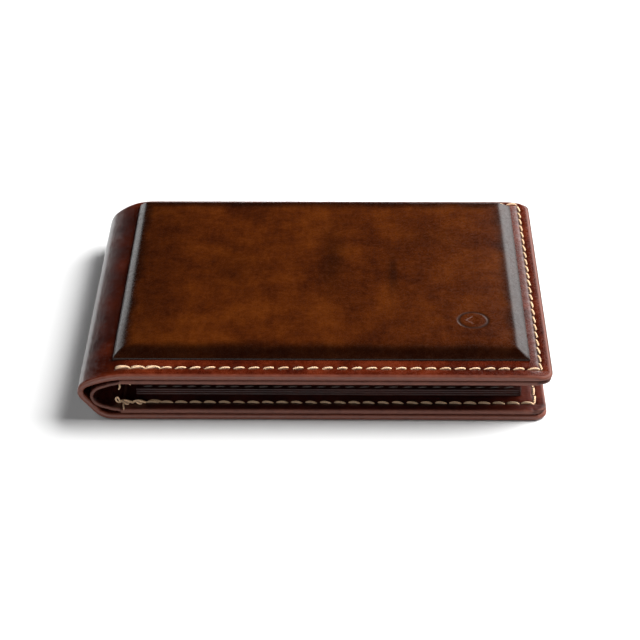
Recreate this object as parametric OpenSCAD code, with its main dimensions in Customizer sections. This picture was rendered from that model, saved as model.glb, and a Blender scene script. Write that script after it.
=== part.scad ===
// Bifold wallet, closed, lying on its back cover. Millimetres, +Z up.
// The fold runs along Y at the low X side. Notes go in at the high Y side.
// The origin is the middle of the closed wallet's footprint, at the surface it lies on.

/* [Closed wallet] */
// Width of the closed wallet, from the fold to the free edge
wallet_w = 114; // [100:1:140]
// Length of the wallet along the fold
wallet_l = 89; // [80:1:110]
// Height of the closed wallet, without the raised panel
wallet_h = 12.8; // [11.6:0.1:16]
// How much shorter the back half is at the free edge
back_short = 0.9; // [0:0.1:3]
// Radius of the outer corners
corner_r = 3.5; // [1:0.1:6]

/* [Cover leather] */
// Thickness of the cover leather
cover_t = 1.1; // [0.8:0.1:1.4]
// Extra thickness where the cover's edge is turned over
hem_t = 0.5; // [0.3:0.1:0.7]
// Width of the turned edge
hem_w = 6.4; // [5.5:0.1:9]

/* [Fold] */
// Radius of the fold's lower bend, at the outside
bend_low_r = 6; // [4:0.1:7]
// Angle that the lower bend turns through
bend_low_a = 50; // [40:1:60]
// Radius of the nose of the fold, at the outside
nose_r = 3; // [2.6:0.1:3.6]
// Radius of the fold's upper bend, at the outside
bend_top_r = 25; // [15:1:30]
// Angle that the upper bend turns through
bend_top_a = 25; // [15:1:30]
// Clearance between neighbouring strips of the fold
fold_gap = 0.06; // [0.04:0.01:0.12]

/* [Inner leather] */
// Thickness of the note divider in each half
divider_t = 0.8; // [0.6:0.1:1]
// Height of the turned edge under the note divider
divider_hem_t = 0.5; // [0.3:0.1:0.7]
// Width of the turned edge under the note divider
divider_hem_w = 4.8; // [4:0.1:6]
// How far the divider stops short of the cover at the note opening
divider_drop = 2; // [1:0.1:6]
// Distance from the outside of the fold to the dividers
divider_inset = 10.2; // [9:0.1:14]
// Thickness of the cloth lining behind the note space
lining_t = 0.25; // [0.15:0.05:0.4]
// Clearance around the lining
lining_gap = 0.3; // [0.2:0.1:1]
// Distance from the outside of the fold to the nose of the inner fold
inner_nose_inset = 4.5; // [4:0.1:6]
// Height of the nose of the inner fold, as a share of the wallet's height
inner_nose_share = 0.484; // [0.4:0.01:0.6]

/* [Card pockets] */
// Width of the card that the pockets take
card_w = 85.6; // [80:0.1:90]
// Free width beside the card
card_slack = 3; // [2:0.1:5]
// Thickness of the pocket leather
pocket_t = 0.45; // [0.3:0.05:0.6]
// Height of each open slot
slot_t = 0.15; // [0.1:0.05:0.2]
// Width of the sewn strip around each pocket
pocket_seam_w = 2.5; // [2:0.1:4]
// How deep a card goes into its pocket
pocket_depth = 50; // [46:1:54]
// Step from one pocket's mouth to the next
pocket_step = 11; // [8:1:12]
// Distance from the divider's top edge to the first pocket's mouth
pocket_drop = 6; // [4:0.5:10]
// Distance from the front edge to the pockets
pocket_margin_front = 6.6; // [6.2:0.1:9]
// Distance from the free edge to the pockets
pocket_margin_side = 6; // [5.5:0.1:7]

/* [Raised panel] */
// Distance from the front edge to the panel
panel_margin_front = 7.1; // [6.6:0.1:10]
// Distance from the free edge to the panel
panel_margin_side = 5.1; // [4.6:0.1:8]
// Distance from the far edge to the panel
panel_margin_far = 3.4; // [3:0.1:8]
// Distance from the outside of the fold to the panel
panel_margin_fold = 8.2; // [7.8:0.1:12]
// Height of the panel above the cover
panel_h = 2.3; // [1.6:0.1:3]
// Width of the bevel around the panel
panel_bevel = 3.4; // [2.5:0.1:4.5]
// Width of the steeper bevel along the panel's far side
panel_bevel_far = 1.5; // [1.4:0.1:4.5]
// Thickness of the panel's leather skin
panel_skin_t = 0.8; // [0.6:0.1:1]
// Width of the maker's mark pressed into the panel
mark_w = 8; // [4:0.5:9]
// Depth of the maker's mark
mark_depth = 0.2; // [0.1:0.05:0.3]

/* [Seams] */
// Distance from the front edge to the main seam
seam_front = 3.8; // [3:0.1:4.6]
// Distance from the free edge to the main seam
seam_side = 2.8; // [2.4:0.1:3.4]
// Distance from the far edge to the main seam
seam_far = 1.7; // [1.4:0.1:2.2]
// Distance from the outside of the fold to the first stitch
seam_start = 9.4; // [9:0.1:13]
// Distance from one stitch to the next
stitch_pitch = 3.6; // [2.6:0.1:4.5]
// Thickness of the thread
thread_d = 0.55; // [0.4:0.05:0.6]
// Depth of the groove that the outer stitches lie in
groove_depth = 0.6; // [0.6:0.02:0.7]

/* [Hidden] */

LEATHER = [0.33, 0.11, 0.05];
DARK_LEATHER = [0.27, 0.10, 0.04];
INNER_LEATHER = [0.28, 0.07, 0.04];
CLOTH = [0.20, 0.12, 0.09];
THREAD = [0.80, 0.70, 0.55];
BOARD = [0.62, 0.56, 0.46];

half_w = wallet_w / 2;
half_l = wallet_l / 2;
fold_x = -half_w;
edge_t = cover_t + hem_t;
slack = 0.02;

// ---- the fold's outer profile: three bends joined by a straight leg ----
// A bend is [centre, radius, start turn, end turn]; the turn grows from 0 at
// the back cover to 180 at the front cover.
nose_a = 180 - bend_low_a - bend_top_a;
leg_l = (wallet_h - bend_low_r * (1 - cos(bend_low_a))
         - nose_r * (cos(bend_top_a) + cos(bend_low_a))
         - bend_top_r * (1 - cos(bend_top_a))) / sin(bend_low_a);
nose_c = [fold_x + nose_r, bend_low_r * (1 - cos(bend_low_a))
          + leg_l * sin(bend_low_a) + nose_r * cos(bend_low_a)];
low_c = [nose_c[0] - nose_r * sin(bend_low_a) + leg_l * cos(bend_low_a)
         + bend_low_r * sin(bend_low_a), bend_low_r];
top_c = [nose_c[0] + (bend_top_r - nose_r) * sin(bend_top_a), wallet_h - bend_top_r];
BENDS = [
    [low_c, bend_low_r, 0, bend_low_a],
    [nose_c, nose_r, bend_low_a, bend_low_a + nose_a],
    [top_c, bend_top_r, bend_low_a + nose_a, 180]
];

// Turns at which the four fold lines lie
line_back = bend_low_a / 2;
line_low = bend_low_a + nose_a / 4;
line_up = bend_low_a + nose_a * 3 / 4;
line_front = 180 - bend_top_a / 2;

function on_bend(b, turn, depth) = b[0] + (b[1] - depth) * [-sin(turn), -cos(turn)];
function bend_path(b, from, to, depth) =
    let (lo = max(from, b[2]), hi = min(to, b[3]), n = max(2, ceil((hi - lo) / 6)))
    lo < hi ? [for (i = [0:n]) on_bend(b, lo + (hi - lo) * i / n, depth)] : [];
function fold_path(from, to, depth) =
    [for (b = BENDS) for (p = bend_path(b, from, to, depth)) p];
function reversed(list) = [for (i = [len(list) - 1:-1:0]) list[i]];
// Half of the clearance at a fold line, as a turn of the bend it lies in
function gap_turn(r) = fold_gap / 2 / r * 180 / PI;
function bend_at(turn) = turn < BENDS[1][2] ? BENDS[0] : turn < BENDS[2][2] ? BENDS[1] : BENDS[2];
function inward(turn) = [sin(turn), cos(turn)];
function cross2(a, b) = a[0] * b[1] - a[1] * b[0];
// Where the line from p along d meets the line from q along e
function meet(p, d, q, e) = p + d * cross2(q - p, e) / cross2(d, e);

// A plate standing on the XZ profile and running along Y
module along_y(points, y0, y1) {
    translate([0, y1, 0]) rotate([90, 0, 0]) linear_extrude(height = y1 - y0) polygon(points);
}

// One strip of the folded cover, thicker at its two turned ends
module fold_strip(from, to) {
    points = concat(fold_path(from, to, 0), reversed(fold_path(from, to, cover_t)));
    hem = concat(fold_path(from, to, 0), reversed(fold_path(from, to, edge_t)));
    along_y(points, -half_l + hem_w, half_l - hem_w);
    for (y = [-half_l, half_l - hem_w])
        along_y(hem, y, y + hem_w);
}

// Turn the flat back half over to make the front half
module as_front() {
    translate([0, 0, wallet_h]) mirror([0, 0, 1]) children();
}

// A plate from x0,y0 to x1,y1 with its two free corners rounded
module plate(x0, y0, x1, y1, z0, z1, r) {
    translate([0, 0, z0]) linear_extrude(height = z1 - z0) union() {
        translate([x0, y0]) square([x1 - x0 - r, y1 - y0]);
        translate([x0, y0 + r]) square([x1 - x0, y1 - y0 - 2 * r]);
        for (y = [y0 + r, y1 - r])
            translate([x1 - r, y]) circle(r = r, $fn = 48);
    }
}

// ---- one half, built lying on z = 0 with its outer face down ----
back_x1 = half_w - back_short;
front_x1 = half_w;
plate_x0 = low_c[0];
front_plate_x0 = top_c[0];
divider_x0 = fold_x + divider_inset;
divider_z0 = edge_t + divider_hem_t;
divider_z1 = divider_z0 + divider_t;

// Outer and inner stitches of the main seam, as [x, y, angle]
function seam_row(a, b, turn) =
    let (d = b - a, n = floor(norm(d) / stitch_pitch))
    [for (i = [0:n - 1]) concat(a + d * (i + 0.5) / n, [turn])];
function main_seam(x1) =
    let (x0 = fold_x + seam_start, xs = x1 - seam_side, r = corner_r,
         y0 = -half_l + seam_front, y1 = half_l - seam_far)
    concat(seam_row([x0, y0], [xs - r, y0], 6),
           seam_row([xs, y0 + r], [xs, y1 - r], 96),
           seam_row([xs - r, y1], [x0, y1], 6));

stitch_l = stitch_pitch * 0.72;
groove_w = thread_d + 0.32;

module stitches(seam, z) {
    for (s = seam)
        translate([s[0], s[1], z]) rotate([0, 90, s[2]])
            cylinder(d = thread_d, h = stitch_l, center = true, $fn = 16);
}

module seam_grooves(x1) {
    x0 = fold_x + seam_start;
    xs = x1 - seam_side;
    y0 = -half_l + seam_front;
    y1 = half_l - seam_far;
    for (y = [y0, y1])
        translate([x0 - 1, y - groove_w / 2, -1]) cube([xs - corner_r - x0 + 1.6, groove_w, 1 + groove_depth]);
    translate([xs - groove_w / 2, y0 + corner_r - 0.6, -1])
        cube([groove_w, y1 - y0 - 2 * corner_r + 1.2, 1 + groove_depth]);
}

// The cover of one half: a plate, its turned edge and, as the child, its part of the fold
module half_cover(x0, x1) {
    difference() {
        union() {
            plate(x0, -half_l, x1, half_l, 0, cover_t, corner_r);
            difference() {
                plate(x0, -half_l, x1, half_l, cover_t, edge_t, corner_r);
                translate([x0 - 1, -half_l + hem_w, cover_t - 0.5])
                    cube([x1 - hem_w - x0 + 1, wallet_l - 2 * hem_w, hem_t + 1]);
            }
            children();
        }
        seam_grooves(x1);
    }
}

module half_lining(x0, x1) {
    translate([x0, -half_l + hem_w + lining_gap, cover_t + slack])
        cube([x1 - hem_w - lining_gap - x0, wallet_l - 2 * (hem_w + lining_gap), lining_t]);
}

// The note divider is sewn down on its turned edge, and open at the fold and the far side
module half_divider(hem_x0, x1) {
    y1 = half_l - divider_drop;
    difference() {
        plate(divider_x0, -half_l, x1, y1, edge_t + slack, divider_z1, corner_r);
        translate([divider_x0 - 1, -half_l + divider_hem_w, edge_t - 1])
            cube([x1 - divider_hem_w - divider_x0 + 1, wallet_l, 1 + divider_hem_t]);
        translate([divider_x0 - 1, -half_l - 1, edge_t - 1])
            cube([hem_x0 - divider_x0 + 1, wallet_l, 1 + divider_hem_t]);
        divider_groove(x1);
    }
}

module divider_groove(x1) {
    y0 = -half_l + seam_front;
    xs = x1 - seam_side;
    x0 = fold_x + seam_start;
    depth = thread_d / 2;
    translate([x0 - 1, y0 - groove_w / 2, divider_z1 - depth])
        cube([xs - corner_r - x0 + 1.6, groove_w, 2]);
    translate([xs - groove_w / 2, y0 + corner_r - 0.6, divider_z1 - depth])
        cube([groove_w, half_l - seam_far - corner_r - y0 - corner_r + 1.2, 2]);
}

// Card pocket number k, counted from the deepest one, which has the highest mouth
pocket_rise = pocket_t + slot_t;
module half_pocket(x1, k) {
    px1 = x1 - pocket_margin_side;
    px0 = px1 - card_w - card_slack - 2 * pocket_seam_w;
    y0 = -half_l + pocket_margin_front;
    mouth = half_l - divider_drop - pocket_drop - k * pocket_step;
    z0 = divider_z1 + slack + k * (pocket_rise + slack);
    floor_y = max(y0, mouth - pocket_depth - pocket_seam_w);
    translate([px0, y0, z0 + slot_t]) cube([px1 - px0, mouth - y0, pocket_t]);
    for (x = [px0, px1 - pocket_seam_w])
        translate([x, y0, z0]) cube([pocket_seam_w, mouth - y0, slot_t + slack]);
    for (y = [y0, floor_y])
        translate([px0, y, z0]) cube([px1 - px0, pocket_seam_w, slot_t + slack]);
}

// Stitches down the fold side of the pockets and along the bottom of each card space
module half_pocket_stitching(x1) {
    px0 = x1 - pocket_margin_side - card_w - card_slack - 2 * pocket_seam_w;
    px1 = x1 - pocket_margin_side;
    y0 = -half_l + pocket_margin_front + pocket_seam_w / 2;
    mouth = half_l - divider_drop - pocket_drop - 2 * pocket_step;
    z = divider_z1 + 3 * (pocket_rise + slack) + thread_d / 2;
    for (x = [px0, px1 - pocket_seam_w])
        stitches(seam_row([x + pocket_seam_w / 2, y0 + 1], [x + pocket_seam_w / 2, mouth - 1], 96), z);
    stitches(seam_row([px0 + pocket_seam_w, y0], [px1 - pocket_seam_w, y0], 6), z);
}

module half_stitching(x1) {
    z_out = groove_depth - thread_d / 2 - 0.01;
    stitches(main_seam(x1), z_out);
    inner = [for (s = main_seam(x1))
        if (s[0] > divider_x0 + stitch_l / 2 && s[1] < half_l - divider_drop - stitch_l) s];
    stitches(inner, divider_z1 + slack);
}

// Loose ends where the seam starts: a knot with a cut tail on each side of it
knot_d = thread_d * 1.8;
tail_l = thread_d * 3;
module thread_knot(x, y, z) {
    translate([x, y, z]) {
        cylinder(d = knot_d, h = thread_d * 1.4, $fn = 24);
        for (side = [-1, 1])
            translate([side * (knot_d / 2 + slack), 0, thread_d / 2])
                rotate([0, side * 90, 0]) cylinder(d = thread_d, h = tail_l, $fn = 16);
    }
}
knot_y = -half_l + seam_front - thread_d * 2;
knot_z = divider_z1 + slack;

// ---- the inner fold: one strip of leather, its nose pointing at the fold ----
inner_tip = [fold_x + inner_nose_inset, wallet_h * inner_nose_share];
inner_low = [divider_x0, divider_z0 + divider_t / 2];
inner_up = [divider_x0, wallet_h - divider_z0 - divider_t / 2];

// The two faces of a leg from p to the nose, side = 1 for the outer face
function leg_dir(p) = (inner_tip - p) / norm(inner_tip - p);
function leg_face(p, side) =
    let (d = leg_dir(p), n = [d[1], -d[0]], out = p[1] < inner_tip[1] ? -1 : 1)
    p + n * divider_t / 2 * side * out;
function leg_at_line(p, side, turn) =
    meet(leg_face(p, side), leg_dir(p), on_bend(bend_at(turn), turn, 0), inward(turn));
function leg_at_nose(p, side, z) = meet(leg_face(p, side), leg_dir(p), [0, z], [1, 0]);
function leg_at_divider(p, side) = meet(leg_face(p, side), leg_dir(p), [divider_x0 - fold_gap, 0], [0, 1]);

module inner_fold(points) {
    along_y(points, -half_l + 0.3, half_l - divider_drop);
}

// The part of a leg that stays with its half, and the part that follows the fold
module leg_root(p, turn) {
    away = leg_dir(p) * -fold_gap;
    inner_fold([leg_at_divider(p, 1), leg_at_line(p, 1, turn) + away,
                leg_at_line(p, -1, turn) + away, leg_at_divider(p, -1)]);
}
module leg_nose(p, turn, z) {
    inner_fold([leg_at_line(p, 1, turn), leg_at_nose(p, 1, z),
                leg_at_nose(p, -1, z), leg_at_line(p, -1, turn)]);
}

// ---- sub-parts ----
module back_cover() {
    color(LEATHER)
        half_cover(plate_x0, back_x1) fold_strip(0, line_back - gap_turn(bend_low_r));
}
module back_lining() { color(CLOTH) half_lining(plate_x0, back_x1); }
module back_note_divider() { color(INNER_LEATHER) half_divider(plate_x0, back_x1); }
module back_pocket_top() { color(INNER_LEATHER) half_pocket(back_x1, 0); }
module back_pocket_middle() { color(INNER_LEATHER) half_pocket(back_x1, 1); }
module back_pocket_bottom() { color(INNER_LEATHER) half_pocket(back_x1, 2); }
module back_seam_stitching() { color(THREAD) half_stitching(back_x1); }
module back_pocket_stitching() { color(THREAD) half_pocket_stitching(back_x1); }
module back_thread_ends() {
    color(THREAD) for (step = [1, 2])
        thread_knot(divider_x0 + (knot_d + 2 * tail_l) * (step - 0.5), knot_y, knot_z);
}
module back_inner_fold() { color(INNER_LEATHER) leg_root(inner_low, line_back); }

module fold_cover_lower() {
    color(LEATHER) fold_strip(line_back + gap_turn(bend_low_r), line_low - gap_turn(nose_r));
}
module inner_fold_lower() { color(INNER_LEATHER) leg_nose(inner_low, line_back, inner_tip[1] - fold_gap); }
module fold_cover_nose() {
    color(LEATHER) fold_strip(line_low + gap_turn(nose_r), line_up - gap_turn(nose_r));
}
module fold_cover_upper() {
    color(LEATHER) fold_strip(line_up + gap_turn(nose_r), line_front - gap_turn(bend_top_r));
}
module inner_fold_upper() { color(INNER_LEATHER) leg_nose(inner_up, line_front, inner_tip[1] + fold_gap); }
module front_inner_fold() { color(INNER_LEATHER) leg_root(inner_up, line_front); }

module front_cover() {
    color(LEATHER) as_front() half_cover(front_plate_x0, front_x1)
        as_front() fold_strip(line_front + gap_turn(bend_top_r), 180);
}
module front_lining() { color(CLOTH) as_front() half_lining(front_plate_x0, front_x1); }
module front_note_divider() { color(INNER_LEATHER) as_front() half_divider(front_plate_x0, front_x1); }
module front_pocket_top() { color(INNER_LEATHER) as_front() half_pocket(front_x1, 0); }
module front_pocket_middle() { color(INNER_LEATHER) as_front() half_pocket(front_x1, 1); }
module front_pocket_bottom() { color(INNER_LEATHER) as_front() half_pocket(front_x1, 2); }
module front_seam_stitching() { color(THREAD) as_front() half_stitching(front_x1); }
module front_pocket_stitching() { color(THREAD) as_front() half_pocket_stitching(front_x1); }
module front_thread_ends() {
    color(THREAD) as_front() thread_knot(divider_x0 + knot_d / 2 + tail_l, knot_y, knot_z);
}

// The raised panel: a bevelled board under a leather skin, glued to the front cover
panel_x0 = fold_x + panel_margin_fold;
panel_x1 = front_x1 - panel_margin_side;
panel_y0 = -half_l + panel_margin_front;
panel_y1 = half_l - panel_margin_far;
// The skin is thicker at the panel's foot, measured level, because the bevel slopes
panel_fold_t = panel_skin_t * 1.3;

module bevelled_block(inset, height) {
    x0 = panel_x0 + inset;
    y0 = panel_y0 + inset;
    x1 = panel_x1 - inset;
    y1 = panel_y1 - inset;
    b = panel_bevel * height / panel_h;
    b_far = panel_bevel_far * height / panel_h;
    translate([0, 0, wallet_h + slack]) hull() {
        translate([x0, y0, 0]) cube([x1 - x0, y1 - y0, slack]);
        translate([x0 + b, y0 + b, height - slack]) cube([x1 - x0 - 2 * b, y1 - y0 - b - b_far, slack]);
    }
}

module panel_board() {
    color(BOARD) bevelled_block(panel_fold_t + 3 * slack, panel_h - panel_skin_t - 4 * slack);
}

// A plain ring and a diamond, pressed into the leather
module maker_mark() {
    translate([panel_x1 - panel_bevel - 1.2 * mark_w, panel_y0 + panel_bevel + 1.5 * mark_w,
               wallet_h + slack + panel_h - mark_depth]) {
        difference() {
            cylinder(d = mark_w, h = 1, $fn = 48);
            translate([0, 0, -1]) cylinder(d = mark_w * 0.82, h = 3, $fn = 48);
        }
        rotate([0, 0, 45]) translate([-mark_w / 6, -mark_w / 6, 0]) cube([mark_w / 3, mark_w / 3, 1]);
    }
}

module panel_leather() {
    color(DARK_LEATHER) difference() {
        bevelled_block(0, panel_h);
        translate([0, 0, -slack]) bevelled_block(panel_fold_t, panel_h - panel_skin_t);
        maker_mark();
    }
}

back_cover();
back_lining();
back_note_divider();
back_pocket_top();
back_pocket_middle();
back_pocket_bottom();
back_seam_stitching();
back_pocket_stitching();
back_thread_ends();
back_inner_fold();
fold_cover_lower();
inner_fold_lower();
fold_cover_nose();
fold_cover_upper();
inner_fold_upper();
front_inner_fold();
front_cover();
front_lining();
front_note_divider();
front_pocket_top();
front_pocket_middle();
front_pocket_bottom();
front_seam_stitching();
front_pocket_stitching();
front_thread_ends();
panel_board();
panel_leather();
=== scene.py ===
"""Bifold wallet of hand-burnished leather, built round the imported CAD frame.

Everything is in metres, in the frame's own place: the fold runs along Y at low X,
the free edges are at high X and the note space opens at high Y.
"""

import math

import bmesh
import bpy
import numpy as np
from mathutils import Matrix, Vector, noise


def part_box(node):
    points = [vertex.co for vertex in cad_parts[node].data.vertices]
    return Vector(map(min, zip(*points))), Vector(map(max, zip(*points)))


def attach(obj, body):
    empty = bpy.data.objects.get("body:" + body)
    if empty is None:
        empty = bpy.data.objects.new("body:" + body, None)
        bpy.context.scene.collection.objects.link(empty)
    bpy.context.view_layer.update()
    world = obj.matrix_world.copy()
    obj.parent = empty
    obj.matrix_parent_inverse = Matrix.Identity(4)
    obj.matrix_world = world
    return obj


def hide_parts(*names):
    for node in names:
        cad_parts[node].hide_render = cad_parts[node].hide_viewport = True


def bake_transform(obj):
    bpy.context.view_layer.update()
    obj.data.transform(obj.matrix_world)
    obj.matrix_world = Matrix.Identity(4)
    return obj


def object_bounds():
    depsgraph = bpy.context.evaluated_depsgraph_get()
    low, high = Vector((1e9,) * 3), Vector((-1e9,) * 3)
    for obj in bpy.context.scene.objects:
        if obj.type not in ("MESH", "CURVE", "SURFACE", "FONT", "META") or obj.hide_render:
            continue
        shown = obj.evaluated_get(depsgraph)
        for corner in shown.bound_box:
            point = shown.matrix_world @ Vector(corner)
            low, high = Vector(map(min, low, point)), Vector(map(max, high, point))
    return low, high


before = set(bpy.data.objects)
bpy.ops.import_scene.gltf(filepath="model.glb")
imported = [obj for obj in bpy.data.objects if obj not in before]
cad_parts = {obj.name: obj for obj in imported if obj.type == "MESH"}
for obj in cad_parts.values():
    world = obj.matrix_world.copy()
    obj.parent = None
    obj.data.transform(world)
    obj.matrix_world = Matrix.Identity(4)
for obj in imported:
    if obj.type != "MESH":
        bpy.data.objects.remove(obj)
cad_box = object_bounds()
scene = bpy.context.scene


# ---- Camera ----
# A long lens a little above the table, looking at the sewn front edge
# with the fold at the left.
camera_data = bpy.data.cameras.new("camera")
camera_data.lens = 118.5
camera_data.sensor_width = 36
camera_data.clip_start = 0.01
camera = bpy.data.objects.new("camera", camera_data)
scene.collection.objects.link(camera)
look_down = math.radians(31.24)
turn_left = math.radians(0.92)
lean = math.radians(-0.306)
camera.matrix_world = (
    Matrix.Translation((0.0082, -0.4664, 0.2844))
    @ Matrix.Rotation(turn_left, 4, "Z")
    @ Matrix.Rotation(math.pi / 2 - look_down, 4, "X")
    @ Matrix.Rotation(lean, 4, "Z")
)
scene.camera = camera


# ---- Table ----
# A plain white sweep, larger than any view of the wallet needs.
def plain_material(name, colour, roughness):
    """A new material and its Principled shader."""
    material = bpy.data.materials.new(name)
    material.use_nodes = True
    shader = material.node_tree.nodes["Principled BSDF"]
    shader.inputs["Base Color"].default_value = (*colour, 1)
    shader.inputs["Roughness"].default_value = roughness
    return material, shader


table_half = 3.0
table_mesh = bpy.data.meshes.new("table")
table_mesh.from_pydata(
    [(x * table_half, y * table_half, 0) for x, y in ((-1, -1), (1, -1), (1, 1), (-1, 1))],
    [],
    [(0, 1, 2, 3)],
)
table = bpy.data.objects.new("table", table_mesh)
scene.collection.objects.link(table)
table_material, table_shader = plain_material("white_table", (0.56, 0.56, 0.56), 0.9)
table_shader.inputs["Specular IOR Level"].default_value = 0.1
table_mesh.materials.append(table_material)


# ---- Lights ----
# A large soft box behind at the right, weak ones at the left and in front, and two
# low cards that the right bevel and the fold mirror. Nothing bright stands overhead.
# The soft box isn't mirrored itself: a dim one just behind it gives its sheen.
def soft_box(name, place, aim, width, height, power):
    light = bpy.data.lights.new(name, "AREA")
    light.shape = "RECTANGLE"
    light.size = width
    light.size_y = height
    light.energy = power
    lamp = bpy.data.objects.new(name, light)
    lamp.location = place
    lamp.rotation_euler = (Vector(aim) - Vector(place)).to_track_quat("-Z", "Y").to_euler()
    scene.collection.objects.link(lamp)
    return lamp


key_box = soft_box("box_right", (0.90, 0.42, 0.86), (0, 0, 0), 1.2, 1.1, 62)
key_box.visible_glossy = False
soft_box("sheen_right", (0.92, 0.43, 0.88), (0, 0, 0), 1.2, 1.1, 14)
soft_box("box_left", (-0.90, -0.10, 0.95), (0, 0, 0), 0.9, 0.8, 4)
soft_box("box_front", (-0.10, -1.15, 0.30), (0, 0, 0), 0.9, 0.4, 6)
soft_box("card_back_right", (0.43, 0.82, 0.25), (0, 0, 0.01), 0.46, 0.36, 1.6)
soft_box("card_back_left", (-0.52, 0.84, 0.10), (0, 0, 0.01), 0.50, 0.20, 0.6)
world = bpy.data.worlds.new("studio")
world.use_nodes = True
world.node_tree.nodes["Background"].inputs["Color"].default_value = (0.008, 0.008, 0.009, 1)
world.node_tree.nodes["Background"].inputs["Strength"].default_value = 1.0
scene.world = world
scene.view_settings.view_transform = "Standard"


# ---- Cover ----
# One hide: front cover, the fold and the back cover, cut flat, its edges pared
# and turned over the lining, then bent round the fold. It is cut into four
# meshes here, each of which bends across one fold line.
MM = 0.001
front_low, front_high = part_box("front_cover")
back_low, back_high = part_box("back_cover")
closed_height = front_high.z
half_length = front_high.y
front_edge_x = front_high.x
back_edge_x = back_high.x
fold_x = cad_box[0].x

cover_thick = 1.1 * MM
edge_thick = 1.6 * MM
turned_width = 6.4 * MM
cover_corner = 3.5 * MM

low_bend_r, nose_bend_r, top_bend_r = 6 * MM, 3 * MM, 25 * MM
low_bend_a, top_bend_a = math.radians(50), math.radians(25)
nose_bend_a = math.pi - low_bend_a - top_bend_a
fold_leg = (
    closed_height
    - low_bend_r * (1 - math.cos(low_bend_a))
    - nose_bend_r * (math.cos(top_bend_a) + math.cos(low_bend_a))
    - top_bend_r * (1 - math.cos(top_bend_a))
) / math.sin(low_bend_a)
nose_centre = Vector(
    (
        fold_x + nose_bend_r,
        low_bend_r * (1 - math.cos(low_bend_a))
        + fold_leg * math.sin(low_bend_a)
        + nose_bend_r * math.cos(low_bend_a),
    )
)
low_centre = Vector(
    (
        nose_centre.x
        + (low_bend_r - nose_bend_r) * math.sin(low_bend_a)
        + fold_leg * math.cos(low_bend_a),
        low_bend_r,
    )
)
top_centre = Vector(
    (
        nose_centre.x + (top_bend_r - nose_bend_r) * math.sin(top_bend_a),
        closed_height - top_bend_r,
    )
)


def bend_point(centre, radius, turn):
    """A point of the hide's outer face on a bend, in (x, z)."""
    return Vector((centre.x - radius * math.sin(turn), centre.y - radius * math.cos(turn)))


# The hide unrolled: u grows from the back cover's free edge, round the fold,
# to the front cover's free edge.
u_low = back_edge_x - low_centre.x
u_leg = u_low + low_bend_r * low_bend_a
u_nose = u_leg + fold_leg
u_top = u_nose + nose_bend_r * nose_bend_a
u_front = u_top + top_bend_r * top_bend_a
u_end = u_front + front_edge_x - top_centre.x


def hide_profile(u):
    """The outer face's (x, z) and the inward normal at u."""
    if u <= u_low:
        return Vector((back_edge_x - u, 0)), Vector((0, 1))
    if u <= u_leg:
        turn = (u - u_low) / low_bend_r
        return bend_point(low_centre, low_bend_r, turn), Vector((math.sin(turn), math.cos(turn)))
    if u <= u_nose:
        start = bend_point(low_centre, low_bend_r, low_bend_a)
        along = Vector((-math.cos(low_bend_a), math.sin(low_bend_a)))
        inward = Vector((math.sin(low_bend_a), math.cos(low_bend_a)))
        return start + along * (u - u_leg), inward
    if u <= u_top:
        turn = low_bend_a + (u - u_nose) / nose_bend_r
        return bend_point(nose_centre, nose_bend_r, turn), Vector((math.sin(turn), math.cos(turn)))
    if u <= u_front:
        turn = math.pi - top_bend_a + (u - u_top) / top_bend_r
        return bend_point(top_centre, top_bend_r, turn), Vector((math.sin(turn), math.cos(turn)))
    return Vector((top_centre.x + u - u_front, closed_height)), Vector((0, -1))


def smooth_step(x):
    x = np.clip(x, 0.0, 1.0)
    return x * x * (3 - 2 * x)


def round_edge(depth, radius):
    """How far a face falls back at this distance inside a fully rounded edge."""
    short = np.clip(radius - depth, 0.0, radius)
    return radius - np.sqrt(radius**2 - short**2)


def edge_steps(width, first=0.05 * MM, growth=1.5, largest=0.45 * MM):
    """Distances from an edge, fine at first, up to width."""
    steps, step = [0.0], first
    while steps[-1] < width - largest / 2:
        steps.append(steps[-1] + step)
        step = min(step * growth, largest)
    return [s * width / steps[-1] for s in steps]


def spread(start, end, step):
    """Even places from start to end, without start itself."""
    count = max(1, round((end - start) / step))
    return [start + (end - start) * (i + 1) / count for i in range(count)]


def across(length, margin, step):
    """Places from 0 to length, fine within margin of both ends."""
    steps = edge_steps(margin)
    return steps + spread(margin, length - margin, step)[:-1] + [length - s for s in reversed(steps)]


def rounded_rows(a, y_low, y_high, corner, rows):
    """y for each row at distance a from a plate's free edge, its free corners round."""
    drop = corner - math.sqrt(max(0.0, corner**2 - max(0.0, corner - a) ** 2))
    share = (np.array(rows) - rows[0]) / (rows[-1] - rows[0])
    return y_low + drop + share * (y_high - y_low - 2 * drop)


def outline_depth(a, y, y_low, y_high, corner):
    """Distance inside a plate's outline, at a from its free edge."""
    side = np.minimum(y - y_low, y_high - y)
    depth = np.minimum(a, side)
    in_corner = (a < corner) & (side < corner)
    return np.where(in_corner, corner - np.hypot(corner - a, corner - side), depth)


def waviness(x, y, z, scale, seed=0.0):
    """Slow, repeatable unevenness between -1 and 1 for arrays of places."""
    place = np.broadcast_arrays(np.asarray(x, float), np.asarray(y, float), np.asarray(z, float))
    flat = [p.ravel() / scale for p in place]
    values = [noise.noise((px + seed, py - seed, pz)) for px, py, pz in zip(*flat)]
    return np.array(values).reshape(place[0].shape)


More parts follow.
